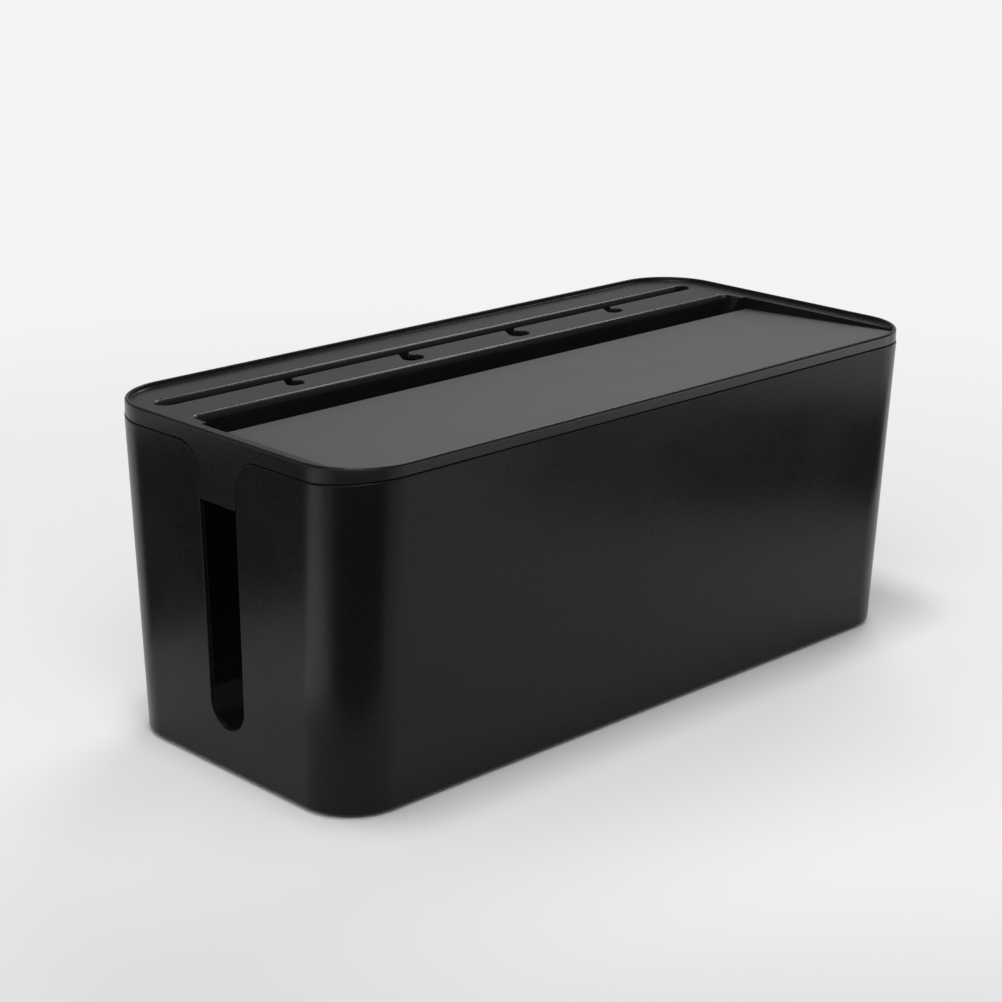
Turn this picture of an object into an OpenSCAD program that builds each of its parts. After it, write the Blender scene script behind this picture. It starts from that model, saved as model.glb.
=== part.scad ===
// Cable management box: a tapered open-topped box with a cable outlet in each end,
// and a lift-off lid with a device stand, a sloping tray and a slotted cable shelf.
// Origin: bottom centre, under the feet. +X runs along the length, -Y is the tray side.

/* [Overall] */
// Length over the top edge of the box
box_l = 400; // [360:5:460]
// Width over the top edge of the box
box_w = 185; // [170:1:230]
// Height from the floor to the top of the lid's rim
box_h = 167; // [130:1:220]
// Radius of the upright corners at the top edge
corner_r = 34; // [24:1:45]
// How far each end leans in from the top edge to the base
lean_end = 3; // [0:0.5:8]
// How far each long side leans in from the top edge to the base
lean_side = 9.5; // [0:0.5:14]
// Radius of the upright corners at the base
base_corner_r = 28; // [20:1:40]

/* [Box shell] */
// Thickness of the box's walls
wall = 2.5; // [2:0.1:3.5]
// Thickness of the box's floor
floor_t = 2.5; // [2:0.1:4]
// Rounding of the outer edge around the base
base_round = 1.6; // [0.5:0.1:3]
// Rounding inside, between the floor and the walls
floor_round = 3; // [1:0.5:6]

/* [Cable outlets] */
// Width of an outlet just under its flared mouth
outlet_w = 26.8; // [18:0.2:34]
// Width of an outlet at its round lower end
outlet_w_low = 24.6; // [16:0.2:32]
// Height of the lowest point of an outlet above the floor
outlet_z = 23; // [12:1:60]
// Radius of the flares at the mouth of an outlet
flare_r = 14; // [8:1:20]

/* [Lid rim and skirt] */
// How far the box's top edge stands out past the lid's side
reveal = 0.4; // [0:0.1:1]
// Width of the raised rim around the lid
rim_w = 2; // [1.5:0.1:4]
// Height of the rim above the deck
rim_h = 2.2; // [1:0.1:4]
// Depth of the lid's skirt along the long sides
skirt_side = 5.8; // [5:0.1:8]
// Depth of the lid's skirt at the two ends
skirt_end = 8.4; // [8.2:0.1:14]
// Length over which the skirt deepens towards each end
skirt_blend = 35; // [15:1:60]
// Thickness of the deck and the tray
plate_t = 2.5; // [2:0.1:3.5]
// How far a tongue reaches down into its outlet below the skirt
tongue_len = 25; // [10:1:45]
// Gap between the lid and the box all along the seam
seam_gap = 0.3; // [0.2:0.1:0.8]
// Depth of the open seam, before the lid rests on the box
seam_deep = 1.2; // [0.6:0.1:1.6]
// Thickness of the locating lip under the lid
lip_t = 1.8; // [1.2:0.1:3]
// Depth of the locating lip below the end skirt
lip_len = 4; // [2:0.5:10]
// Gap between the locating lip and the box's walls
lip_gap = 0.8; // [0.5:0.1:1.5]

/* [Tray and device groove] */
// Width of the flat strip between the rim and the tray at each end
strip_w = 7.6; // [4:0.2:20]
// Depth of the tray's front edge below the deck
tray_front_drop = 0.8; // [0.4:0.1:3]
// Depth of the tray's rear lip below the deck
tray_rear_drop = 6.8; // [4:0.1:10]
// Place of the tray's rear lip across the width
tray_lip_y = 23; // [10:1:30]
// Rounding of the tray's rear lip
tray_lip_r = 1; // [0.5:0.1:2]
// Width of the groove that holds a device upright
groove_w = 12; // [8:0.5:18]
// Depth of the groove below the deck
groove_deep = 14; // [10:0.5:20]
// Inset of the groove's ends from the tray's ends
groove_inset = 3; // [0:0.5:6]
// Rounding of the groove's upright corners
groove_corner_r = 5; // [2:0.5:5]
// Rounding of the deck's edge above the groove and behind the slit
edge_r = 3.5; // [2:0.1:4]
// Length of sharp edge left at each end of the rounded edges
edge_end = 8; // [4:0.5:20]

/* [Cable slit] */
// Place of the slit's front edge across the width
slit_y = 58; // [54:0.5:62]
// Width of the slit
slit_w = 9; // [5:0.5:10]
// Inset of the slit's ends from the side of the lid
slit_inset = 13.6; // [10:0.2:40]
// Radius of the round ends of the slit
slit_end_r = 6; // [5.2:0.1:6.5]
// Depth of the flange behind the slit
slit_flange = 6; // [4:0.5:12]
// Spacing of the four cable hooks in the slit's front edge
hook_pitch = 75; // [55:1:80]
// Radius of the seat of the two inner hooks
hook_r = 5.3; // [4:0.1:6]
// Size of the two outer hooks next to the inner ones
hook_small = 0.8; // [0.5:0.05:1]

/* [Feet] */
// Radius of a foot
foot_r = 8; // [5:0.5:12]
// Height of a foot below the base
foot_h = 1.5; // [1:0.1:4]
// Depth of the shallow seat for a foot in the base
foot_seat = 0.8; // [0.4:0.1:1.2]
// Gap around a foot in its seat
foot_gap = 0.25; // [0.1:0.05:0.5]
// Distance of a foot's centre from the end of the base
foot_in_x = 34; // [25:1:80]
// Distance of a foot's centre from the long side of the base
foot_in_y = 30; // [22:1:50]

/* [Hidden] */
$fn = 72;

slice_t = 0.01;      // thickness of the slices that a hull joins
over = 1;            // overshoot of a cut past the surface that it opens
reach = box_h / 4;   // reach of a cut that goes right through a wall
curve_steps = 12;    // segments in a curve drawn as points
round_steps = 5;     // slices in the rounding of a floor edge

// Base outline and heights
base_l = box_l - 2 * lean_end;
base_w = box_w - 2 * lean_side;
base_z = foot_h;
cavity_z = base_z + floor_t;
deck_z = box_h - rim_h;
deck_low_z = deck_z - plate_t;
seam_side_z = box_h - skirt_side;
seam_end_z = box_h - skirt_end;
seam_drop = skirt_end - skirt_side;

// Lid outline
lid_l = box_l - 2 * reveal;
lid_w = box_w - 2 * reveal;
lid_r = corner_r - reveal;
lip_inset = wall - reveal + lip_gap;

// Tray and groove, measured in the lid
tray_half = lid_l / 2 - rim_w - strip_w;
tray_front_y = -lid_w / 2 + rim_w;
tray_front_z = deck_z - tray_front_drop;
tray_rear_z = deck_z - tray_rear_drop;
tray_slope = (tray_front_z - tray_rear_z) / (tray_lip_y - tray_front_y);
groove_half = tray_half - groove_inset;
groove_rear_y = tray_lip_y + groove_w;
groove_z = deck_z - groove_deep;
groove_edge_half = groove_half - edge_end;

// Slit and hooks
slit_half = lid_l / 2 - slit_inset;
slit_rear_y = slit_y + slit_w;
slit_edge_half = slit_half - edge_end;
slit_end_y = slit_y + slit_end_r;

// A cable hook, drawn for a seat of radius 1: a slanting mouth leads to a heel and the seat
hook_reach = 1.84;      // from the seat's centre to the slit's edge
hook_heel = [-0.51, -0.2];
hook_heel_r = 0.81;
hook_mouth = [-0.25, 0.92];
hook_tip = [0.35, 0.94];
hook_sizes = [hook_small, 1, 1, hook_small];

// Outlets and tongues
outlet_half = outlet_w / 2;
outlet_low_r = outlet_w_low / 2;
flare_z = seam_end_z - seam_gap - flare_r;
flare_y = outlet_half + flare_r;
tongue_z = seam_end_z - tongue_len;

foot_x = base_l / 2 - foot_in_x;
foot_y = base_w / 2 - foot_in_y;

// Share of the lean that is left at a height, from 0 at the base to 1 at the top edge
function lean_share(z) = (z - base_z) / (seam_side_z - base_z);
// Points of an arc about (cx, cy)
function arc(cx, cy, r, from, to) =
    [for (i = [0:curve_steps]) let (a = from + (to - from) * i / curve_steps)
        [cx + r * cos(a), cy + r * sin(a)]];
// Height of the tray's surface at y
function tray_z(y) = tray_front_z - (y - tray_front_y) * tray_slope;

// Rectangle with true round corners
module round_rect(l, w, r) {
    square([l - 2 * r, w], center = true);
    square([l, w - 2 * r], center = true);
    for (x = [-1, 1], y = [-1, 1])
        translate([x * (l / 2 - r), y * (w / 2 - r)]) circle(r = r);
}

// Extrude an outline drawn in Y and Z along X, centred
module along_x(half) {
    rotate([90, 0, 90]) translate([0, 0, -half]) linear_extrude(2 * half) children();
}

// Extrude an outline drawn in X and Z along Y, centred
module along_y(half) {
    rotate([90, 0, 0]) translate([0, 0, -half]) linear_extrude(2 * half) children();
}

// Thin slice of the leaning box at a height, drawn in by inset
module box_slice(z, inset) {
    t = lean_share(z);
    l = base_l + (box_l - base_l) * t - 2 * inset;
    w = base_w + (box_w - base_w) * t - 2 * inset;
    r = base_corner_r + (corner_r - base_corner_r) * t - inset;
    translate([0, 0, z - slice_t]) linear_extrude(slice_t) round_rect(l, w, r);
}

// Leaning block from low to high, rounded around its lower edge
module leaning_block(low, high, inset, round_r) {
    hull() {
        for (i = [0:round_steps]) {
            a = 90 * i / round_steps;
            box_slice(low + slice_t + round_r * (1 - cos(a)), inset + round_r * (1 - sin(a)));
        }
        box_slice(high, inset);
    }
}

// Everything above the seam, lowered by drop; the seam falls away towards both ends
module above_seam(drop) {
    blend_x = box_l / 2 - skirt_blend;
    seam_r = (skirt_blend * skirt_blend + seam_drop * seam_drop) / (2 * seam_drop);
    end_a = asin(skirt_blend / seam_r);
    curve = [for (i = [0:curve_steps]) let (a = end_a * i / curve_steps)
        [blend_x + seam_r * sin(a), seam_side_z - drop - seam_r * (1 - cos(a))]];
    top = box_h + reach;
    out = box_l / 2 + reach;
    right = concat(curve, [[out, seam_end_z - drop], [out, top]]);
    left = [for (i = [len(right) - 1:-1:0]) [-right[i][0], right[i][1]]];
    along_y(box_w) polygon(concat(right, left));
}

// Outline of an outlet in Y and Z, with its flared mouth; grow widens it
module outlet_outline(grow) {
    low_z = outlet_z + outlet_low_r;
    translate([0, low_z]) circle(r = outlet_low_r + grow);
    polygon([
        [-outlet_low_r - grow, low_z], [outlet_low_r + grow, low_z],
        [outlet_half + grow, flare_z], [-outlet_half - grow, flare_z]]);
    difference() {
        translate([-flare_y, flare_z]) square([2 * flare_y, flare_r + seam_gap + over]);
        for (s = [-1, 1]) translate([s * flare_y, flare_z]) circle(r = flare_r - grow);
    }
}

// The tapered box with its floor, walls, outlets and seats for the feet
module box_body() {
    color("#27272a") difference() {
        leaning_block(base_z, seam_side_z, 0, base_round);
        leaning_block(cavity_z, box_h, wall, floor_round);
        above_seam(seam_gap);
        for (s = [-1, 1])
            translate([s * box_l / 2, 0, 0]) along_x(reach) outlet_outline(0);
        for (x = [-1, 1], y = [-1, 1])
            translate([x * foot_x, y * foot_y, base_z - over])
                cylinder(r = foot_r + foot_gap, h = over + foot_seat);
    }
}

// Upright prism on the lid's outline, drawn in by inset
module lid_prism(inset, low, high) {
    translate([0, 0, low]) linear_extrude(high - low)
        round_rect(lid_l - 2 * inset, lid_w - 2 * inset, lid_r - inset);
}

// Solid that carries the tray and the groove under the deck
module tray_underside() {
    front = -lid_w / 2;
    wall_y = tray_lip_y - plate_t;
    rear = groove_rear_y + plate_t;
    low = groove_z - plate_t;
    top = deck_z - plate_t / 2;
    intersection() {
        along_x(tray_half + plate_t) polygon([
            [front, top], [front, tray_z(front) - plate_t],
            [wall_y, tray_z(wall_y) - plate_t], [wall_y, low], [rear, low], [rear, top]]);
        union() {
            lid_prism(rim_w / 2, seam_side_z, box_h);
            lid_prism(lip_inset, low - over, seam_side_z + over);
        }
    }
}

// Space over the tray, in front of its rear lip, which is rounded
module tray_space() {
    front = -lid_w / 2 - over;
    top = box_h + over;
    lip_a = atan(tray_slope);
    lip_cz = tray_z(tray_lip_y - tray_lip_r) - tray_lip_r / cos(lip_a);
    lip = arc(tray_lip_y - tray_lip_r, lip_cz, tray_lip_r, 90 - lip_a, 0);
    intersection() {
        along_x(tray_half) polygon(concat(
            [[front, top], [front, tray_z(front)]], lip, [[tray_lip_y, top]]));
        lid_prism(rim_w, groove_z, box_h + over);
    }
}

// Space of the groove behind the lip, with round upright corners at the rear
module groove_space() {
    deep = box_h + over - groove_z;
    translate([0, 0, groove_z]) linear_extrude(deep) {
        translate([-groove_half, tray_lip_y - slice_t])
            square([2 * groove_half, groove_w - groove_corner_r + slice_t]);
        translate([-groove_half + groove_corner_r, tray_lip_y])
            square([2 * (groove_half - groove_corner_r), groove_w]);
        for (s = [-1, 1])
            translate([s * (groove_half - groove_corner_r), groove_rear_y - groove_corner_r])
                circle(r = groove_corner_r);
    }
}

// Cut that rounds the deck's edge over a wall facing forward at y
module edge_rounding(y, half) {
    quarter = arc(y + edge_r, deck_z - edge_r, edge_r, 180, 90);
    along_x(half) polygon(concat(quarter, [[y + edge_r, deck_z + over], [y - over, deck_z + over],
        [y - over, deck_z - edge_r]]));
}

// Long cable slit with round ends
module slit_space() {
    translate([0, 0, deck_z - reach]) linear_extrude(reach + over) {
        translate([-slit_half + slit_end_r, slit_y])
            square([2 * (slit_half - slit_end_r), slit_w]);
        for (s = [-1, 1])
            translate([s * (slit_half - slit_end_r), slit_end_y]) circle(r = slit_end_r);
    }
}

// Cable hook that opens into the slit, with a seat of radius r
module hook_space(r) {
    mouth_y = hook_reach + over / r;
    lean = (hook_heel[0] - hook_heel_r - hook_mouth[0]) / (hook_heel[1] - hook_reach);
    outline = [
        [hook_mouth[0] + lean * (mouth_y - hook_reach), mouth_y],
        [hook_heel[0] - hook_heel_r, hook_heel[1]],
        [hook_heel[0], hook_heel[1] - hook_heel_r], [0, -1], hook_tip,
        [hook_mouth[1], hook_reach], [hook_mouth[1], mouth_y]];
    translate([0, slit_y - hook_reach * r, deck_low_z - over])
        linear_extrude(plate_t + 2 * over) {
            circle(r = r);
            translate(hook_heel * r) circle(r = hook_heel_r * r);
            polygon(outline * r);
        }
}

// Flange behind the slit, which backs its rounded rear edge
module slit_flange_bar() {
    translate([-slit_half, slit_rear_y, deck_z - slit_flange])
        cube([2 * slit_half, plate_t, slit_flange - plate_t / 2]);
}

// Tongue that closes the top of an outlet, flush with the lid's end
module tongue() {
    intersection() {
        translate([lid_l / 2 - wall / 2, 0, 0]) along_x(wall / 2) outlet_outline(-seam_gap);
        translate([0, -flare_y, tongue_z])
            cube([box_l, 2 * flare_y, tongue_len + over]);
    }
}

// Lip under the lid that locates it inside the box, open behind the tongues
module locating_lip() {
    low = seam_end_z - lip_len;
    difference() {
        lid_prism(lip_inset, low, deck_low_z + over);
        lid_prism(lip_inset + lip_t, low - over, deck_low_z + 2 * over);
        for (s = [-1, 1])
            translate([s * lid_l / 2, 0, low - over]) linear_extrude(over + lip_len)
                square([4 * lip_inset + 2 * lip_t, 2 * flare_y], center = true);
    }
}

// Ring behind the skirt that rests on the box's long top edges and leaves the seam open
module rest_ring() {
    difference() {
        lid_prism(seam_deep, seam_side_z - seam_gap, deck_low_z + over);
        lid_prism(lip_inset + lip_t, seam_end_z - over, deck_low_z + 2 * over);
    }
}

// The lift-off lid
module lid() {
    color("#2e2e32") difference() {
        union() {
            difference() {
                intersection() {
                    lid_prism(0, seam_end_z, box_h);
                    above_seam(0);
                }
                lid_prism(lip_inset + lip_t, seam_end_z - over, deck_low_z);
            }
            tray_underside();
            locating_lip();
            rest_ring();
            slit_flange_bar();
            tongue();
            mirror([1, 0, 0]) tongue();
        }
        lid_prism(rim_w, deck_z, box_h + over);
        tray_space();
        groove_space();
        edge_rounding(groove_rear_y, groove_edge_half);
        slit_space();
        edge_rounding(slit_rear_y, slit_edge_half);
        for (i = [0:len(hook_sizes) - 1])
            translate([(i - (len(hook_sizes) - 1) / 2) * hook_pitch, 0, 0])
                hook_space(hook_r * hook_sizes[i]);
    }
}

// Round rubber foot, seated in the base
module foot(x, y) {
    bevel = foot_h / 3;
    color("#141416") translate([x * foot_x, y * foot_y, 0]) {
        cylinder(r1 = foot_r - bevel, r2 = foot_r, h = bevel);
        translate([0, 0, bevel]) cylinder(r = foot_r, h = base_z + foot_seat - bevel);
    }
}
module foot_front_left() { foot(-1, -1); }
module foot_front_right() { foot(1, -1); }
module foot_rear_left() { foot(-1, 1); }
module foot_rear_right() { foot(1, 1); }

box_body();
lid();
foot_front_left();
foot_front_right();
foot_rear_left();
foot_rear_right();
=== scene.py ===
import bpy
import bmesh
import math
from mathutils import Matrix, Vector
from mathutils.bvhtree import BVHTree


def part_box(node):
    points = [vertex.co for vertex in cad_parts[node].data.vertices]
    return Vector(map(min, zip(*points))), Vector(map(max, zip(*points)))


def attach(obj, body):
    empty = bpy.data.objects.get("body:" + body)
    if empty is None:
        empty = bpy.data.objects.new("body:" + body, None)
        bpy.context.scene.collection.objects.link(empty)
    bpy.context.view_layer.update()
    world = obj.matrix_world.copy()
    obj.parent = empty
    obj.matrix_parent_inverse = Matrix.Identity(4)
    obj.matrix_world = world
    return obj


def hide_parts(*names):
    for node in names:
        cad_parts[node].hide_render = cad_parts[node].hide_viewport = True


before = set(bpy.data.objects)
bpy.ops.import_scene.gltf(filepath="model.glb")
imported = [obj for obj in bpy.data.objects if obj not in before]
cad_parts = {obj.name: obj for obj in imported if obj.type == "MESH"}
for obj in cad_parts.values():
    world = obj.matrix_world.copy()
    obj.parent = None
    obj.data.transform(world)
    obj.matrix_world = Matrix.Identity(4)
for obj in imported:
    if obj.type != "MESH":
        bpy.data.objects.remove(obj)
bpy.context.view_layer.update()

MM = 0.001

# ---------------------------------------------------------------- sizes, in mm
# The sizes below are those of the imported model. The frame's own boxes give the three main ones.
BODY_LO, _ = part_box("box_body")
LID_LO, LID_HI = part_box("lid")

H_TOP = LID_HI[2] / MM                  # top of the rim
REVEAL = 0.4                            # the box's top edge stands out past the lid
BOX_L = (LID_HI[0] - LID_LO[0]) / MM + 2 * REVEAL
BOX_W = (LID_HI[1] - LID_LO[1]) / MM + 2 * REVEAL
BASE_Z = BODY_LO[2] / MM
LEAN_END, LEAN_SIDE = 3.0, 9.5
R_TOP, R_BASE = 34.0, 28.0
WALL, FLOOR_T = 2.5, 2.5
BASE_ROUND, FLOOR_ROUND = 1.6, 3.0
FOOT_STRIP = 0.8                        # a short course above those roundings keeps them local
WALL_FROM_Z = 14.0                      # the plain wall starts here
SKIRT_SIDE, SKIRT_END, SKIRT_BLEND = 5.8, 8.4, 35.0
SEAM_GAP = 0.3
SEAM_SEEN = 0.6                         # the seam drawn a little wider, by the lid's lower edge
LEDGE = 1.2                             # depth of the lid's lower edge
BELT_Z = 163.5                          # a course of the skirt, level all round, above the seam
SEAM_SIDE_Z = H_TOP - SKIRT_SIDE
SEAM_END_Z = H_TOP - SKIRT_END

OUT_HALF, OUT_LOW_R, OUT_Z, FLARE_R = 13.4, 12.3, 23.0, 14.0
FLARE_Z = SEAM_END_Z - SEAM_GAP - FLARE_R
FLARE_Y = OUT_HALF + FLARE_R
TONGUE_Z = SEAM_END_Z - 25.0
TONGUE_R = 0.8

LID_L, LID_W, LID_R = BOX_L - 2 * REVEAL, BOX_W - 2 * REVEAL, R_TOP - REVEAL
RIM_W, RIM_H, PLATE = 2.0, 2.2, 2.5
RIM_R_OUT, RIM_R_IN = 1.2, 0.8
RIM_STRIP = 0.4                         # a short course below the rim's outer rounding
DECK_Z = H_TOP - RIM_H
DECK_LOW = DECK_Z - PLATE
TRAY_HALF = LID_L / 2 - RIM_W - 7.6
TRAY_FRONT_Y = -LID_W / 2 + RIM_W
TRAY_FRONT_Z = DECK_Z - 0.8
TRAY_REAR_Z = DECK_Z - 6.8
LIP_Y, LIP_R = 23.0, 1.0
SLOPE = (TRAY_FRONT_Z - TRAY_REAR_Z) / (LIP_Y - TRAY_FRONT_Y)
GROOVE_HALF = TRAY_HALF - 3.0
GROOVE_Y = LIP_Y + 12.0
GROOVE_Z = DECK_Z - 14.0
GROOVE_R = 5.0
EDGE_R = 3.5                            # rounding of the rear edges of the groove and the slit
SLIT_Y, SLIT_W = 58.0, 9.0
SLIT_END_R = (SLIT_W + EDGE_R) / 2
SLIT_HALF = LID_L / 2 - 13.6
SLIT_FLANGE = 6.0
HOOK_PITCH, HOOK_R, HOOK_SMALL = 75.0, 5.3, 0.8
# roundings of the edges: the box's mouth and outlets, the hooks, the pocket, the rim's foot
MOUTH_BEVEL, HOOK_BEVEL, POCKET_BEVEL, FOOT_BEVEL = 0.45, 0.6, 0.35, 0.8


def tray_z(y):
    """Height of the sloping tray at y."""
    return TRAY_FRONT_Z - (y - TRAY_FRONT_Y) * SLOPE


SEAM_DROP = SKIRT_END - SKIRT_SIDE
SEAM_R = (SKIRT_BLEND ** 2 + SEAM_DROP ** 2) / (2 * SEAM_DROP)


def seam_z(x):
    """Height of the lid's lower edge at x: level, then curving down towards both ends."""
    d = abs(x) - (BOX_L / 2 - SKIRT_BLEND)
    if d <= 0:
        return SEAM_SIDE_Z
    d = min(d, SKIRT_BLEND)
    return SEAM_SIDE_Z - (SEAM_R - math.sqrt(SEAM_R ** 2 - d * d))


# ---------------------------------------------------------------- mesh helpers
SHARP = math.radians(50)                # edges sharper than this stay sharp
WELD = 0.02                             # points nearer than this become one
ON_SEAM, ON_TRAY = 0.12, 0.02           # a face this near the seam or the tray's plane is part of it


class Shell:
    """Faces between named points in mm. Points that coincide are one vertex."""

    def __init__(self):
        self.bm = bmesh.new()
        self.points = {}

    def v(self, p):
        key = (round(p[0], 3), round(p[1], 3), round(p[2], 3))
        if key not in self.points:
            self.points[key] = self.bm.verts.new((p[0] * MM, p[1] * MM, p[2] * MM))
        return self.points[key]

    def face(self, pts):
        vs = []
        for p in pts:
            q = self.v(p)
            if not vs or vs[-1] is not q:
                vs.append(q)
        if len(vs) > 1 and vs[0] is vs[-1]:
            vs.pop()
        if len(vs) > 2:
            self.bm.faces.new(vs)

    def strip(self, a, b):
        """Four-sided faces between two lines of as many points."""
        for a0, a1, b0, b1 in zip(a, a[1:], b, b[1:]):
            self.face([a0, a1, b1, b0])

    def edges(self, pts):
        """The edges that run along a line of points."""
        found = [self.bm.edges.get((self.v(p), self.v(q))) for p, q in zip(pts, pts[1:])]
        return [e for e in found if e]

    def bevel(self, edges, width, segments):
        """Round edges off. The points' names are void afterwards."""
        edges = list(dict.fromkeys(e for e in edges if e.is_valid))
        bmesh.ops.bevel(self.bm, geom=edges, offset=width * MM, offset_type="OFFSET",
                        segments=segments, profile=0.5, affect="EDGES", clamp_overlap=False,
                        loop_slide=True)
        self.points = {}

    def done(self, name, outward=True):
        if outward:
            bmesh.ops.recalc_face_normals(self.bm, faces=self.bm.faces)
        me = bpy.data.meshes.new(name)
        for f in self.bm.faces:
            f.smooth = True
        for e in self.bm.edges:
            e.smooth = e.calc_face_angle(0.0) < SHARP
        self.bm.to_mesh(me)
        self.bm.free()
        ob = bpy.data.objects.new(name, me)
        bpy.context.scene.collection.objects.link(ob)
        return ob


def weighted_normals(ob):
    """Shade by the larger faces, so that small bevels don't tilt the flats, and bake that in."""
    m = ob.modifiers.new("normals", "WEIGHTED_NORMAL")
    m.mode = "FACE_AREA"
    m.weight = 100
    m.keep_sharp = True
    dg = bpy.context.evaluated_depsgraph_get()
    me = bpy.data.meshes.new_from_object(ob.evaluated_get(dg), depsgraph=dg)
    ob.modifiers.clear()
    old = ob.data
    ob.data = me
    bpy.data.meshes.remove(old)


def arc(cx, cy, r, a0, a1, n):
    """n + 1 points of an arc, from a0 to a1 in degrees."""
    return [(cx + r * math.cos(math.radians(a0 + (a1 - a0) * i / n)),
             cy + r * math.sin(math.radians(a0 + (a1 - a0) * i / n))) for i in range(n + 1)]


CORNER_N = 24       # steps round each upright corner
END_N = 12          # steps round each end of the slit, and each rear corner of the groove
FLARE_N = 14        # steps round each flare of an outlet
LOW_N = 28          # steps round the lower end of an outlet
BASE_N = 6          # steps of the roundings at the foot of the box
PANEL_Y = 34.0      # the flat panel at each end, where the outlets are
BESIDE = 0.5        # a narrow column beside the panel keeps the outlets' normals off the corner


def columns(side):
    """Places round half the box, from the +X end to the -X end by way of the front or the rear."""
    cols = [("end", 1, side * PANEL_Y), ("end", 1, side * (PANEL_Y + BESIDE))]
    cols += [("arc", 1, side, 90.0 * i / CORNER_N) for i in range(CORNER_N + 1)]
    cols += [("arc", -1, side, 90.0 - 90.0 * i / CORNER_N) for i in range(CORNER_N + 1)]
    cols += [("end", -1, side * (PANEL_Y + BESIDE)), ("end", -1, side * PANEL_Y)]
    return cols


def at(col, l, w, r):
    """x, y of a column on a rounded rectangle."""
    if col[0] == "end":
        return (col[1] * l / 2, col[2])
    sx, sy, a = col[1], col[2], math.radians(col[3])
    return (sx * (l / 2 - r + r * math.cos(a)), sy * (w / 2 - r + r * math.sin(a)))


def lean(z):
    """How far up the leaning wall z is, from 0 at its foot to 1 at the seam."""
    return (z - BASE_Z) / (SEAM_SIDE_Z - BASE_Z)


def body_at(col, z, inset):
    """A point of the leaning wall; z may be "top", for the seam's height there."""
    if z == "top":
        zz = SEAM_SIDE_Z - SEAM_GAP
        for _ in range(3):
            x = body_at(col, zz, inset)[0]
            zz = seam_z(x) - SEAM_GAP
        return body_at(col, zz, inset)
    t = lean(z)
    l = BOX_L - 2 * LEAN_END * (1 - t) - 2 * inset
    w = BOX_W - 2 * LEAN_SIDE * (1 - t) - 2 * inset
    r = R_BASE + (R_TOP - R_BASE) * t - inset
    x, y = at(col, l, w, r)
    return (x, y, z)


def body_x(z, inset):
    """The leaning end's distance from the middle."""
    return BOX_L / 2 - LEAN_END * (1 - lean(z)) - inset


def outlet_outline():
    """Outlet in Y and Z, from the right flare down, round the bottom and up to the left flare."""
    right = arc(FLARE_Y, FLARE_Z, FLARE_R, 90, 180, FLARE_N)
    bottom = arc(0, OUT_Z + OUT_LOW_R, OUT_LOW_R, 0, -180, LOW_N)
    left = [(-y, z) for y, z in reversed(right)]
    return right + bottom + left


# ---------------------------------------------------------------- the box
def foot_rows(z, r, inset):
    """Rows (height, inset) of a wall that starts at z with a rounding of radius r."""
    turns = [math.radians(90 * i / BASE_N) for i in range(BASE_N + 1)]
    rows = [(z + r * (1 - math.cos(a)), inset + r * (1 - math.sin(a))) for a in turns]
    return rows + [(z + r + FOOT_STRIP, inset), (WALL_FROM_Z, inset)]


def make_body():
    """The tub: outer and inner wall, floor, and an outlet in each end."""
    s = Shell()
    outer = foot_rows(BASE_Z, BASE_ROUND, 0.0)
    inner = foot_rows(BASE_Z + FLOOR_T, FLOOR_ROUND, WALL)
    outline = outlet_outline()

    round_off = []
    for side in (-1, 1):
        cols = columns(side)
        for rows in (outer, inner):
            for (z0, i0), (z1, i1) in zip(rows, rows[1:]):
                s.strip([body_at(c, z0, i0) for c in cols], [body_at(c, z1, i1) for c in cols])
        lo_out = [body_at(c, WALL_FROM_Z, 0.0) for c in cols]
        hi_out = [body_at(c, "top", 0.0) for c in cols]
        lo_in = [body_at(c, WALL_FROM_Z, WALL) for c in cols]
        hi_in = [body_at(c, "top", WALL) for c in cols]
        s.strip(lo_out, hi_out)
        s.strip(lo_in, hi_in)
        s.strip(hi_out, hi_in)
        round_off += s.edges(hi_out) + s.edges(hi_in)
    for sx in (-1, 1):
        a, b = ("end", sx, -PANEL_Y), ("end", sx, PANEL_Y)
        for rows in (outer, inner):
            for (z0, i0), (z1, i1) in zip(rows, rows[1:]):
                s.face([body_at(a, z0, i0), body_at(b, z0, i0),
                        body_at(b, z1, i1), body_at(a, z1, i1)])
        out = [(sx * body_x(z, 0.0), y, z) for y, z in outline]
        inn = [(sx * body_x(z, WALL), y, z) for y, z in outline]
        for pts, inset in ((out, 0.0), (inn, WALL)):
            top_a, top_b = body_at(a, "top", inset), body_at(b, "top", inset)
            s.face([body_at(a, WALL_FROM_Z, inset), body_at(b, WALL_FROM_Z, inset), top_b]
                   + pts + [top_a])
            round_off += s.edges([top_b, pts[0]]) + s.edges([pts[-1], top_a])
        s.strip(out, inn)
        for q, k in ((b, 0), (a, -1)):
            s.face([body_at(q, "top", 0.0), out[k], inn[k], body_at(q, "top", WALL)])
        round_off += s.edges(out) + s.edges(inn)
    # underside and floor
    for z, inset in (outer[0], inner[0]):
        s.face([body_at(c, z, inset) for c in columns(-1) + columns(1)[::-1]])
    bmesh.ops.recalc_face_normals(s.bm, faces=s.bm.faces)
    s.bevel(round_off, MOUTH_BEVEL, 3)
    ob = s.done("box_shell")
    weighted_normals(ob)
    return ob


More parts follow.
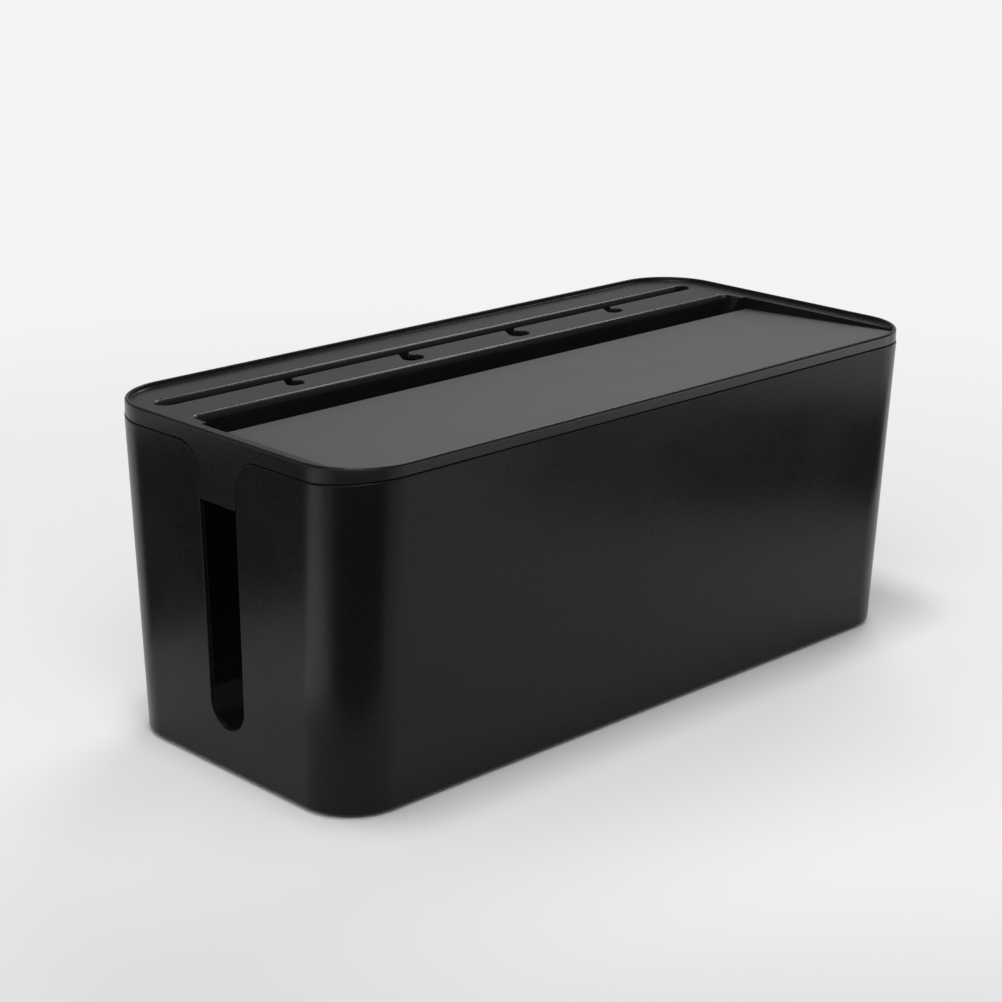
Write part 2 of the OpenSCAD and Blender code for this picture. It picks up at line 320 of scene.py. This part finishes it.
# ---------------------------------------------------------------- the lid
def hook_outline(cx, r):
    """Cable hook in X and Y, from the right of its mouth round the seat and heel to the left.

    The numbers are shares of r, the radius of the hook's bow."""
    reach, heel, heel_r = 1.84, (-0.51, -0.2), 0.81
    mouth, tip = (-0.25, 0.92), (0.35, 0.94)
    cy = SLIT_Y - reach * r
    a_tip = math.degrees(math.atan2(tip[1], tip[0]))
    pts = [(mouth[1], reach)]
    pts += arc(0, 0, 1, a_tip, -82, 26)
    left = (mouth[0], reach)
    # where the slanting left side leaves the heel
    dx, dy = heel[0] - left[0], heel[1] - left[1]
    d = math.hypot(dx, dy)
    away = math.atan2(dy, dx) - math.asin(heel_r / d)
    run = math.sqrt(d * d - heel_r ** 2)
    t = (left[0] + run * math.cos(away), left[1] + run * math.sin(away))
    a_end = math.degrees(math.atan2(t[1] - heel[1], t[0] - heel[0]))
    a_end = a_end - 360 if a_end > 0 else a_end
    pts += arc(heel[0], heel[1], heel_r, -90, a_end, 14)
    pts += [left]
    return [(cx + x * r, cy + y * r) for x, y in pts]


def fading_edge(x):
    """Stations (x, turn, width) of a rounding that fades out round both ends of an edge."""
    half = []
    for i in range(END_N + 1):
        share = i / END_N
        half.append((x, 90.0 * share, EDGE_R * share * share * (3 - 2 * share)))
    return half + [(-x, 180.0 - turn, w) for x, turn, w in reversed(half)]


def fading_at(station, tilt, cy, outer):
    """A point of such a rounding, from the wall (0) to the deck (90), where its radius is outer."""
    cx, turn, w = station
    turn, tilt = math.radians(turn), math.radians(tilt)
    reach = outer - w * math.cos(tilt)
    return (cx + reach * math.cos(turn), cy + reach * math.sin(turn),
            DECK_Z - w + w * math.sin(tilt))


def make_lid():
    """The lid's outside: skirt, tongues, rim, deck, slit with hooks, tray and groove."""
    s = Shell()
    # the corner column where the tray's end wall meets the rim
    corner_a = math.degrees(math.acos((TRAY_HALF - (LID_L / 2 - LID_R)) / (LID_R - RIM_W)))

    def cols_for(side):
        cols = columns(side)
        if side < 0:
            for sx in (1, -1):
                arcs = [i for i, c in enumerate(cols) if c[0] == "arc" and c[1] == sx]
                near = min(arcs, key=lambda i: abs(cols[i][3] - corner_a))
                cols[near] = ("arc", sx, -1, corner_a)
        return cols

    def edge_z(x):
        return seam_z(x) - SEAM_GAP + SEAM_SEEN

    def lid_at(col, z, inset):
        x, y = at(col, LID_L - 2 * inset, LID_W - 2 * inset, LID_R - inset)
        return (x, y, edge_z(x) if z == "seam" else z)

    ro, ri = RIM_R_OUT, RIM_R_IN
    rows = [(BELT_Z, 0.0), (H_TOP - ro - RIM_STRIP, 0.0)]
    for a in (0, 15, 30, 45, 60, 75, 90):
        a = math.radians(a)
        rows.append((H_TOP - ro + ro * math.sin(a), ro * (1 - math.cos(a))))
    for a in (0, 30, 60, 90):
        a = math.radians(a)
        rows.append((H_TOP - ri + ri * math.cos(a), RIM_W - ri + ri * math.sin(a)))
    side_cols = {-1: cols_for(-1), 1: cols_for(1)}
    for side, cols in side_cols.items():
        lo = [lid_at(c, "seam", 0.0) for c in cols]
        s.strip(lo, [lid_at(c, BELT_Z, 0.0) for c in cols])
        back = [lid_at(c, "seam", LEDGE)[:2] + (p[2],) for c, p in zip(cols, lo)]
        s.strip(lo, back)
        s.strip(back, [(x, y, z + SEAM_GAP - SEAM_SEEN) for x, y, z in back])
        for (z0, i0), (z1, i1) in zip(rows, rows[1:]):
            s.strip([lid_at(c, z0, i0) for c in cols], [lid_at(c, z1, i1) for c in cols])
    for sx in (-1, 1):
        a, b = ("end", sx, -PANEL_Y), ("end", sx, PANEL_Y)
        for (z0, i0), (z1, i1) in zip(rows, rows[1:]):
            s.face([lid_at(a, z0, i0), lid_at(b, z0, i0), lid_at(b, z1, i1), lid_at(a, z1, i1)])

    # tongues, flush with the ends
    tongue_edges = []
    up = (TONGUE_Z - OUT_Z - OUT_LOW_R) / (FLARE_Z - OUT_Z - OUT_LOW_R)
    half_low = OUT_LOW_R + (OUT_HALF - OUT_LOW_R) * up
    right = arc(FLARE_Y, FLARE_Z, FLARE_R + SEAM_SEEN, 90, 180, FLARE_N)
    right += arc(half_low - SEAM_SEEN - TONGUE_R, TONGUE_Z + TONGUE_R, TONGUE_R, 0, -90, 4)
    outline = right + [(-y, z) for y, z in reversed(right)]
    for sx in (-1, 1):
        xo, xi = sx * LID_L / 2, sx * (LID_L / 2 - WALL)
        out = [(xo, y, z) for y, z in outline]
        inn = [(xi, y, z) for y, z in outline]
        a, b = (xo, -PANEL_Y, BELT_Z), (xo, PANEL_Y, BELT_Z)
        sa, sb = (xo, -PANEL_Y, edge_z(xo)), (xo, PANEL_Y, edge_z(xo))
        s.face([a, b, sb] + out + [sa])
        s.strip(out, inn)
        s.face([sb, out[0], inn[0], (xi, PANEL_Y, edge_z(xo))])
        s.face([sa, out[-1], inn[-1], (xi, -PANEL_Y, edge_z(xo))])
        s.face([(xi, y, z) for y, z in outline])
        tongue_edges += s.edges(out) + s.edges([sb, out[0]]) + s.edges([out[-1], sa])

    # rim's inner wall, down to the deck or to the tray
    z_in = rows[-1][0]

    def foot_of(c):
        """The foot of the rim's inner wall, and whether it stands on the tray."""
        x, y = at(c, LID_L - 2 * RIM_W, LID_W - 2 * RIM_W, LID_R - RIM_W)
        on_tray = y < 0 and abs(x) < TRAY_HALF - 0.01
        return (x, y, tray_z(y) if on_tray else DECK_Z), on_tray

    for side, cols in side_cols.items():
        for c0, c1 in zip(cols, cols[1:]):
            (p0, t0), (p1, t1) = foot_of(c0), foot_of(c1)
            top0, top1 = lid_at(c0, z_in, RIM_W), lid_at(c1, z_in, RIM_W)
            ring = [top0, top1]
            if t0 and not t1:
                ring += [p1, (p1[0], p1[1], tray_z(p1[1])), p0]
            elif t1 and not t0:
                ring += [p1, (p0[0], p0[1], tray_z(p0[1])), p0]
            else:
                ring += [p1, p0]
            s.face(ring)
    for sx in (-1, 1):
        a, b = ("end", sx, -PANEL_Y), ("end", sx, PANEL_Y)
        s.face([lid_at(a, z_in, RIM_W), lid_at(b, z_in, RIM_W), foot_of(b)[0], foot_of(a)[0]])

    front = [foot_of(c) for c in side_cols[-1]]
    rear = [foot_of(c)[0] for c in side_cols[1]]
    strip_r = [p for p, t in front if not t and p[0] > 0]       # +X end down to the tray's corner
    strip_l = [p for p, t in front if not t and p[0] < 0]
    tray_front = [strip_r[-1]] + [p for p, t in front if t] + [strip_l[0]]
    tray_front = [(x, y, tray_z(y)) for x, y, z in tray_front]

    # slit and hooks, seen from above, from the right end to the left
    xc = SLIT_HALF - SLIT_END_R
    yc = SLIT_Y + SLIT_END_R
    front_edge = arc(xc, yc, SLIT_END_R, 0, -90, END_N)
    for i, size in ((3, HOOK_SMALL), (2, 1.0), (1, 1.0), (0, HOOK_SMALL)):
        front_edge += hook_outline((i - 1.5) * HOOK_PITCH, HOOK_R * size)
    front_edge += arc(-xc, yc, SLIT_END_R, -90, -180, END_N)

    quarter = [90 * i / 8 for i in range(9)]

    # rear edge of the groove, from the right end to the left
    xg, yg = GROOVE_HALF - GROOVE_R, GROOVE_Y - GROOVE_R
    sweep = fading_edge(xg)

    def groove_at(station, tilt):
        return fading_at(station, tilt, yg, GROOVE_R + station[2])

    for one, two in zip(sweep, sweep[1:]):
        s.strip([groove_at(one, t) for t in quarter], [groove_at(two, t) for t in quarter])

    # rear edge of the slit, from the right end to the left, with its wall
    low_f, low_r = DECK_LOW, DECK_Z - SLIT_FLANGE
    stations = fading_edge(xc)

    def slit_at(station, tilt):
        return fading_at(station, tilt, yc, SLIT_END_R)

    for one, two in zip(stations, stations[1:]):
        s.strip([slit_at(one, t) for t in quarter], [slit_at(two, t) for t in quarter])
        (x0, y0, z0), (x1, y1, z1) = slit_at(one, 0), slit_at(two, 0)
        wall = [(x0, y0, z0), (x1, y1, z1)]
        wall += [(x1, y1, low_f)] if two is stations[-1] else []
        wall += [(x1, y1, low_r), (x0, y0, low_r)]
        wall += [(x0, y0, low_f)] if one is stations[0] else []
        s.face(wall)
    back_line = [slit_at(st, 90) for st in stations]

    def level(line, z=DECK_Z):
        return [(x, y, z) for x, y in line]

    # the deck is two faces, which meet where the slit's centre line reaches the rim
    rear_line = [groove_at(st, 90)[:2] for st in reversed(sweep)]
    pocket_l = [(-TRAY_HALF, strip_l[0][1]), (-TRAY_HALF, LIP_Y), (-GROOVE_HALF, LIP_Y)]
    pocket_r = [(GROOVE_HALF, LIP_Y), (TRAY_HALF, LIP_Y), (TRAY_HALF, strip_r[-1][1])]
    right_half = [i for i, p in enumerate(rear) if p[0] >= 0]
    cut_i = min(right_half, key=lambda i: abs(rear[i][1] - yc))
    cut_j = len(rear) - 1 - cut_i
    s.face(strip_r[::-1] + rear[:cut_i + 1] + level(front_edge) + rear[cut_j:] + strip_l[::-1]
           + level(pocket_l[1:] + rear_line + pocket_r[:-1]))
    s.face(rear[cut_i:cut_j + 1] + back_line[::-1])

    # front walls of the slit and of the hooks
    s.strip(level(front_edge), level(front_edge, low_f))

    # pocket: end walls, the step to the groove, the tray and its lip
    lip_a = math.atan(SLOPE)
    lip_cy = LIP_Y - LIP_R
    lip_cz = tray_z(lip_cy) - LIP_R / math.cos(lip_a)
    lip = [(lip_cy + LIP_R * math.cos(a), lip_cz + LIP_R * math.sin(a))
           for a in [(math.pi / 2 - lip_a) * (1 - i / 5) for i in range(6)]]
    z_lip = lip[-1][1]
    for sx in (1, -1):
        xt, xe = sx * TRAY_HALF, sx * GROOVE_HALF
        y0 = strip_r[-1][1]
        s.face([(xt, y0, DECK_Z), (xt, LIP_Y, DECK_Z)] + [(xt, y, z) for y, z in reversed(lip)]
               + [(xt, y0, tray_z(y0))])
        s.face([(xt, LIP_Y, DECK_Z), (xe, LIP_Y, DECK_Z), (xe, LIP_Y, z_lip), (xt, LIP_Y, z_lip)])
    s.face(tray_front + [(-TRAY_HALF, *lip[0]), (TRAY_HALF, *lip[0])])
    for row, below in zip(lip, lip[1:]):
        ring = [(-TRAY_HALF, *row), (TRAY_HALF, *row), (TRAY_HALF, *below)]
        if below == lip[-1]:
            ring += [(GROOVE_HALF, *below), (-GROOVE_HALF, *below)]
        s.face(ring + [(-TRAY_HALF, *below)])

    # groove
    s.face([(-GROOVE_HALF, LIP_Y, z_lip), (GROOVE_HALF, LIP_Y, z_lip),
            (GROOVE_HALF, LIP_Y, GROOVE_Z), (-GROOVE_HALF, LIP_Y, GROOVE_Z)])
    for sx in (1, -1):
        xe = sx * GROOVE_HALF
        s.face([(xe, LIP_Y, DECK_Z), (xe, yg, DECK_Z), (xe, yg, GROOVE_Z),
                (xe, LIP_Y, GROOVE_Z), (xe, LIP_Y, z_lip)])
    wall = [groove_at(st, 0) for st in sweep]
    low = [(x, y, GROOVE_Z) for x, y, _ in wall]
    s.strip(wall, low)
    s.face([(GROOVE_HALF, LIP_Y, GROOVE_Z)] + low + [(-GROOVE_HALF, LIP_Y, GROOVE_Z)])

    bmesh.ops.recalc_face_normals(s.bm, faces=s.bm.faces)
    # the rim's foot is filleted into the deck, and the moulded edges have small roundings
    foot = s.edges(rear) + s.edges(strip_r) + s.edges(strip_l)
    foot += s.edges([strip_r[0], rear[0]]) + s.edges([strip_l[-1], rear[-1]])
    fingers = s.edges(level(front_edge))
    crisp = s.edges(level(pocket_l)) + s.edges(level(pocket_r)) + tongue_edges
    s.bevel(fingers, HOOK_BEVEL, 3)
    s.bevel(crisp, POCKET_BEVEL, 3)
    s.bevel(foot, FOOT_BEVEL, 4)
    bmesh.ops.remove_doubles(s.bm, verts=s.bm.verts, dist=WELD * MM)
    ob = s.done("lid_shell", outward=False)
    weighted_normals(ob)
    return ob


def make_underside():
    """The lid's inside, as the solid has it: the faces that no light from above can reach."""
    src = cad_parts["lid"]
    bm = bmesh.new()
    bm.from_mesh(src.data)
    bmesh.ops.remove_doubles(bm, verts=bm.verts, dist=2e-6)
    tree = BVHTree.FromBMesh(bm)
    gone = []
    for f in bm.faces:
        c = f.calc_center_median() + f.normal * 0.05 * MM
        open_above = tree.ray_cast(c, Vector((0, 0, 1)))[0] is None
        # the skirt's lower edge is the lid shell's own
        skirt = f.normal.z < -0.9 and abs(c.z / MM - seam_z(c.x / MM)) < ON_SEAM
        if skirt or open_above:
            gone.append(f)
    bmesh.ops.delete(bm, geom=gone, context="FACES")
    me = bpy.data.meshes.new("lid_inside")
    for f in bm.faces:
        f.smooth = False
    bm.to_mesh(me)
    bm.free()
    ob = bpy.data.objects.new("lid_inside", me)
    bpy.context.scene.collection.objects.link(ob)
    return ob


body = make_body()
lid = make_lid()
inside = make_underside()


# ---------------------------------------------------------------- materials
def maths(nt, op, a, b=None, c=None, clamp=False):
    """A Math node on numbers or outputs."""
    n = nt.nodes.new("ShaderNodeMath")
    n.operation = op
    n.use_clamp = clamp
    for i, v in enumerate((a, b, c)):
        if v is None:
            continue
        if isinstance(v, (int, float)):
            n.inputs[i].default_value = v
        else:
            nt.links.new(v, n.inputs[i])
    return n.outputs[0]


def dot(nt, vec, axis):
    n = nt.nodes.new("ShaderNodeVectorMath")
    n.operation = "DOT_PRODUCT"
    nt.links.new(vec, n.inputs[0])
    n.inputs[1].default_value = axis
    return n.outputs["Value"]


def spread(nt, src, lo, hi, a, b, kind="LINEAR"):
    """src from lo..hi to a..b."""
    r = nt.nodes.new("ShaderNodeMapRange")
    r.interpolation_type = kind
    for key, v in (("From Min", lo), ("From Max", hi), ("To Min", a), ("To Max", b)):
        r.inputs[key].default_value = v
    nt.links.new(src, r.inputs["Value"])
    return r.outputs["Result"]


def smooth(nt, src, lo, hi, a, b):
    return spread(nt, src, lo, hi, a, b, "SMOOTHSTEP")


def bump(nt, height, strength, distance, below=None):
    """A Bump node, on top of another one's normal if there is one."""
    n = nt.nodes.new("ShaderNodeBump")
    n.inputs["Strength"].default_value = strength
    n.inputs["Distance"].default_value = distance
    nt.links.new(height, n.inputs["Height"])
    if below:
        nt.links.new(below, n.inputs["Normal"])
    return n.outputs["Normal"]


def new_material(name, rough, spec):
    """A material, its node tree and its Principled node."""
    m = bpy.data.materials.new(name)
    m.use_nodes = True
    p = m.node_tree.nodes["Principled BSDF"]
    p.inputs["Roughness"].default_value = rough
    p.inputs["Specular IOR Level"].default_value = spec
    return m, m.node_tree, p


def plastic(name, colour, rough, spec, grain, sheen=0.0):
    """Moulded black plastic: a fine spark-eroded grain, faint flow marks and dull patches."""
    m, nt, p = new_material(name, rough, spec)
    nodes, link = nt.nodes, nt.links.new
    p.inputs["Sheen Weight"].default_value = sheen
    p.inputs["Sheen Roughness"].default_value = 0.5
    p.inputs["Sheen Tint"].default_value = (1.0, 0.97, 1.0, 1)
    p.inputs["Specular Tint"].default_value = (0.93, 0.90, 1.0, 1)
    geo = nodes.new("ShaderNodeTexCoord")

    def noise_at(scale, detail, rough_, stretch=(1, 1, 1)):
        mp = nodes.new("ShaderNodeMapping")
        mp.inputs["Scale"].default_value = stretch
        link(geo.outputs["Object"], mp.inputs["Vector"])
        n = nodes.new("ShaderNodeTexNoise")
        n.inputs["Scale"].default_value = scale
        n.inputs["Detail"].default_value = detail
        n.inputs["Roughness"].default_value = rough_
        link(mp.outputs["Vector"], n.inputs["Vector"])
        return n.outputs["Fac"]

    cloud = noise_at(14, 4, 0.6)
    flow = noise_at(40, 3, 0.5, (0.25, 1, 1))
    fine = noise_at(2600, 2, 0.6)
    pit = noise_at(900, 3, 0.55)

    mix = nodes.new("ShaderNodeMixRGB")
    mix.inputs["Color1"].default_value = (*[c * 0.86 for c in colour], 1)
    mix.inputs["Color2"].default_value = (*[c * 1.18 for c in colour], 1)
    link(spread(nt, cloud, 0.3, 0.7, 0, 1), mix.inputs["Fac"])
    link(mix.outputs["Color"], p.inputs["Base Color"])

    dull = maths(nt, "ADD", spread(nt, cloud, 0.3, 0.7, rough - 0.03, rough + 0.03),
                 spread(nt, flow, 0.3, 0.7, -0.02, 0.03))
    dull = maths(nt, "ADD", dull, spread(nt, pit, 0.35, 0.65, -0.015, 0.015))
    link(dull, p.inputs["Roughness"])

    skin = bump(nt, fine, 0.22 * grain, 0.06 * MM)
    link(bump(nt, pit, 0.16 * grain, 0.12 * MM, skin), p.inputs["Normal"])
    return m


def rubber(name):
    """Dull black rubber, mottled and slightly rough."""
    m, nt, p = new_material(name, 0.8, 0.25)
    nodes, link = nt.nodes, nt.links.new
    n = nodes.new("ShaderNodeTexNoise")
    n.inputs["Scale"].default_value = 700
    n.inputs["Detail"].default_value = 3
    tc = nodes.new("ShaderNodeTexCoord")
    link(tc.outputs["Object"], n.inputs["Vector"])
    r = nodes.new("ShaderNodeValToRGB")
    r.color_ramp.elements[0].color = (0.006, 0.006, 0.0065, 1)
    r.color_ramp.elements[1].color = (0.02, 0.02, 0.021, 1)
    link(n.outputs["Fac"], r.inputs["Fac"])
    link(r.outputs["Color"], p.inputs["Base Color"])
    link(bump(nt, n.outputs["Fac"], 0.4, 0.1 * MM), p.inputs["Normal"])
    return m


mat_body = plastic("box_plastic_fine", (0.0042, 0.0041, 0.0048), 0.27, 0.17, 0.16, 0.03)
# a lighter copy of the box plastic for the inside: painted light that lifts the dim interior seen
# through the outlets
mat_inner_painted_light = plastic("box_plastic_inner_painted_light", (0.030, 0.030, 0.033), 0.5, 0.25, 0.8)
mat_lid = plastic("lid_plastic_fine", (0.0065, 0.0064, 0.0075), 0.27, 0.21, 0.08, 0.03)
mat_tray = plastic("tray_plastic_coarse", (0.0150, 0.0141, 0.0147), 0.50, 0.30, 1.0, 0.24)
mat_foot = rubber("foot_rubber_fine")


def dress(ob, mat, slot, body_name, *nodes):
    """Material and body of one piece, and the CAD nodes that it stands for. The slot is not used."""
    ob.data.materials.clear()
    ob.data.materials.append(mat)
    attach(ob, body_name)
    if nodes:
        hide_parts(*nodes)


dress(body, mat_body, "box_plastic", "box", "box_body")
body.data.materials.append(mat_inner_painted_light)       # for the walls that face inwards, and the floor: the lighter copy, painted light
for poly in body.data.polygons:
    reach = poly.center.xy
    inward = -poly.normal.xy.dot(reach) / max(reach.length, MM)
    if inward > 0.3 or (poly.normal.z > 0.7 and poly.center.z < 8 * MM):
        poly.material_index = 1
dress(lid, mat_lid, "lid_plastic", "lid", "lid")
lid.data.materials.append(mat_tray)         # for the faces that lie in the tray's plane
for poly in lid.data.polygons:
    corners = [lid.data.vertices[i].co / MM for i in poly.vertices]
    if all(abs(p.z - tray_z(p.y)) < ON_TRAY for p in corners):
        poly.material_index = 1
dress(inside, mat_lid, "lid_plastic", "lid")
for name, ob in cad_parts.items():
    if name.startswith("foot_"):
        for sl in ob.material_slots:
            sl.material = mat_foot


# ---------------------------------------------------------------- stage
AZ, EL, ROLL = math.radians(-44.03), math.radians(17.92), math.radians(0.34)
HEADING = Vector((-math.sin(AZ), math.cos(AZ), 0))       # from the camera towards the box, level
ASIDE = Vector((math.cos(AZ), math.sin(AZ), 0))          # to the right in the picture

PAPER_PALE, PAPER_PAINTED_SHADE = 0.96, 0.62        # colour of the paper beside the box, and the painted shade that darkens it before the box
FRONT_FROM, FRONT_TO = -0.50, -0.20         # in m along HEADING, where the painted shade gives way to the paper's own colour
SWEEP_FROM, SWEEP_TO = 0.2, 0.9             # in m from the middle, where the sweep takes over
SWEEP_PALE = 0.90
FLOOR_HALF = 9
WORLD_BASE, WORLD_BACK = 0.27, 0.13         # the world's light, and what it has more behind the box
HORIZON = 0.04                              # height of the sweep's band in the world, as a slope


def paper():
    """Seamless paper: lit by the lamps near the box, painted darker before the box, and a plain pale
    sweep farther away.
    """
    m, nt, p = new_material("floor_paper", 0.9, 0.0)
    pos = nt.nodes.new("ShaderNodeNewGeometry").outputs["Position"]
    # painted shade: the paper's colour darkens towards the front of the box
    ramp = nt.nodes.new("ShaderNodeMixRGB")
    ramp.inputs["Color1"].default_value = (*[PAPER_PAINTED_SHADE] * 3, 1)
    ramp.inputs["Color2"].default_value = (*[PAPER_PALE] * 3, 1)
    along = smooth(nt, dot(nt, pos, HEADING), FRONT_FROM, FRONT_TO, 0.0, 1.0)
    nt.links.new(along, ramp.inputs["Fac"])
    nt.links.new(ramp.outputs["Color"], p.inputs["Base Color"])
    span = nt.nodes.new("ShaderNodeVectorMath")
    span.operation = "LENGTH"
    nt.links.new(pos, span.inputs[0])
    path = nt.nodes.new("ShaderNodeLightPath").outputs
    seen = maths(nt, "ADD", path["Is Camera Ray"], path["Is Glossy Ray"])
    seen = maths(nt, "ADD", seen, path["Is Transmission Ray"], clamp=True)
    far = smooth(nt, span.outputs["Value"], SWEEP_FROM, SWEEP_TO, 0.0, 1.0)
    glow = nt.nodes.new("ShaderNodeEmission")
    glow.inputs["Color"].default_value = (*[SWEEP_PALE] * 3, 1)
    mix = nt.nodes.new("ShaderNodeMixShader")
    nt.links.new(maths(nt, "MULTIPLY", far, seen), mix.inputs["Fac"])
    nt.links.new(p.outputs["BSDF"], mix.inputs[1])
    nt.links.new(glow.outputs["Emission"], mix.inputs[2])
    nt.links.new(mix.outputs["Shader"], nt.nodes["Material Output"].inputs["Surface"])
    return m


def flat(name, corners, material):
    """One flat sheet of the stage."""
    bm = bmesh.new()
    bm.faces.new([bm.verts.new(p) for p in corners])
    me = bpy.data.meshes.new(name)
    bm.to_mesh(me)
    bm.free()
    ob = bpy.data.objects.new(name, me)
    bpy.context.scene.collection.objects.link(ob)
    me.materials.append(material)
    return ob


def reflection_shade_card(name, grey, x0, y0, x1, y1, height):
    """A dark card beside the box that only the box's reflections see: it paints darker reflections
    on the box's faces, and neither shows nor blocks light.
    """
    m, _, p = new_material(name, 0.5, 0.0)
    p.inputs["Base Color"].default_value = (grey, grey, grey, 1)
    ob = flat(name, ((x0, y0, MM), (x1, y1, MM), (x1, y1, height), (x0, y0, height)), m)
    ob.visible_camera = ob.visible_diffuse = ob.visible_transmission = ob.visible_shadow = False


CORNERS = ((-1, -1), (1, -1), (1, 1), (-1, 1))
flat("floor", [(x * FLOOR_HALF, y * FLOOR_HALF, 0) for x, y in CORNERS], paper())

# painted dark reflections: bands on the front, on the front-left corner and on the left end
reflection_shade_card("reflection_shade_front", 0.02, 0.12, -0.30, 0.42, -0.11, 0.075)
reflection_shade_card("reflection_shade_corner", 0.2, -0.318, -0.10, -0.165, -0.20, 0.14)
reflection_shade_card("reflection_shade_left", 0.02, -0.45, 0.10, -0.24, 0.17, 0.12)

world = bpy.data.worlds.new("studio")
bpy.context.scene.world = world
world.use_nodes = True
nt = world.node_tree
sky = nt.nodes["Background"]
look = nt.nodes.new("ShaderNodeTexCoord").outputs["Generated"]
towards = smooth(nt, dot(nt, look, HEADING), 0.35, 0.95, 0.0, 1.0)
low = smooth(nt, dot(nt, look, (0, 0, 1)), 0.15, 0.6, 1.0, 0.0)
glow = maths(nt, "MULTIPLY", towards, low)
lit = maths(nt, "MULTIPLY_ADD", glow, WORLD_BACK, WORLD_BASE)
# the sweep goes on above the floor's edge, for cameras and near the horizon for reflections
path = nt.nodes.new("ShaderNodeLightPath").outputs
horizon = smooth(nt, dot(nt, look, (0, 0, 1)), 0.0, HORIZON, 1.0, 0.0)
mirrored = maths(nt, "MULTIPLY", path["Is Glossy Ray"], horizon)
seen = maths(nt, "ADD", path["Is Camera Ray"], mirrored)
seen = maths(nt, "ADD", seen, path["Is Transmission Ray"], clamp=True)
rest = maths(nt, "SUBTRACT", SWEEP_PALE, lit)
nt.links.new(maths(nt, "MULTIPLY_ADD", seen, rest, lit), sky.inputs["Strength"])
sky.inputs["Color"].default_value = (1, 1, 1, 1)


def area(name, loc, target, size, radiance, size_y=None):
    """A softbox of a given brightness, seen from the box."""
    d = bpy.data.lights.new(name, "AREA")
    d.shape = "RECTANGLE"
    d.size = size
    d.size_y = size_y or size
    d.energy = radiance * math.pi * d.size * d.size_y
    ob = bpy.data.objects.new(name, d)
    bpy.context.scene.collection.objects.link(ob)
    ob.location = loc
    ob.rotation_mode = "QUATERNION"
    ob.rotation_quaternion = (Vector(target) - Vector(loc)).to_track_quat("-Z", "Y")
    ob.visible_camera = False


area("key", (1.28, 0.70, 1.5), (0, 0, 0.16), 1.0, 7.4, 0.4)
area("top", (-0.25, -0.02, 1.9), (0, 0, 0.1), 0.35, 26)
area("fill", (-1.0, -1.1, 1.5), (0, 0, 0.1), 1.4, 2.2)
area("side", (-1.35, -0.30, 0.72), (-0.2, 0, 0.03), 0.45, 3)
area("front_right", (0.50, -0.62, 0.05), (0.0, -0.09, 0.16), 0.9, 3.0, 0.09)
area("panel", (-0.444, 0.018, 0.018), (-0.36, -0.007, 1.0), 0.13, 1.5, 0.30)

# ---------------------------------------------------------------- camera
# as fitted to the photograph: focal length in its pixels, distance in m from a point over the
# origin, and the step aside and up that brings the box to its place in the picture
LENS_PX, PICTURE_PX, SENSOR_MM = 2334.94, 1002, 36
AIM_Z, DISTANCE, STEP_RIGHT, STEP_UP = 0.0615, 1.2046, -0.01564, 0.02842
back = Vector((math.sin(AZ) * math.cos(EL), -math.cos(AZ) * math.cos(EL), math.sin(EL)))
right = ASIDE
up = back.cross(right)
right, up = (right * math.cos(ROLL) + up * math.sin(ROLL),
             up * math.cos(ROLL) - right * math.sin(ROLL))
cam_data = bpy.data.cameras.new("camera")
cam_data.sensor_width = SENSOR_MM
cam_data.lens = LENS_PX / PICTURE_PX * SENSOR_MM
cam = bpy.data.objects.new("camera", cam_data)
bpy.context.scene.collection.objects.link(cam)
cam.location = Vector((0, 0, AIM_Z)) + back * DISTANCE + right * STEP_RIGHT + up * STEP_UP
cam.rotation_mode = "QUATERNION"
cam.rotation_quaternion = Matrix([[right[i], up[i], back[i]] for i in range(3)]).to_quaternion()
cam_data.clip_start, cam_data.clip_end = 0.01, 100
bpy.context.scene.camera = cam

bpy.context.scene.view_settings.view_transform = "Standard"
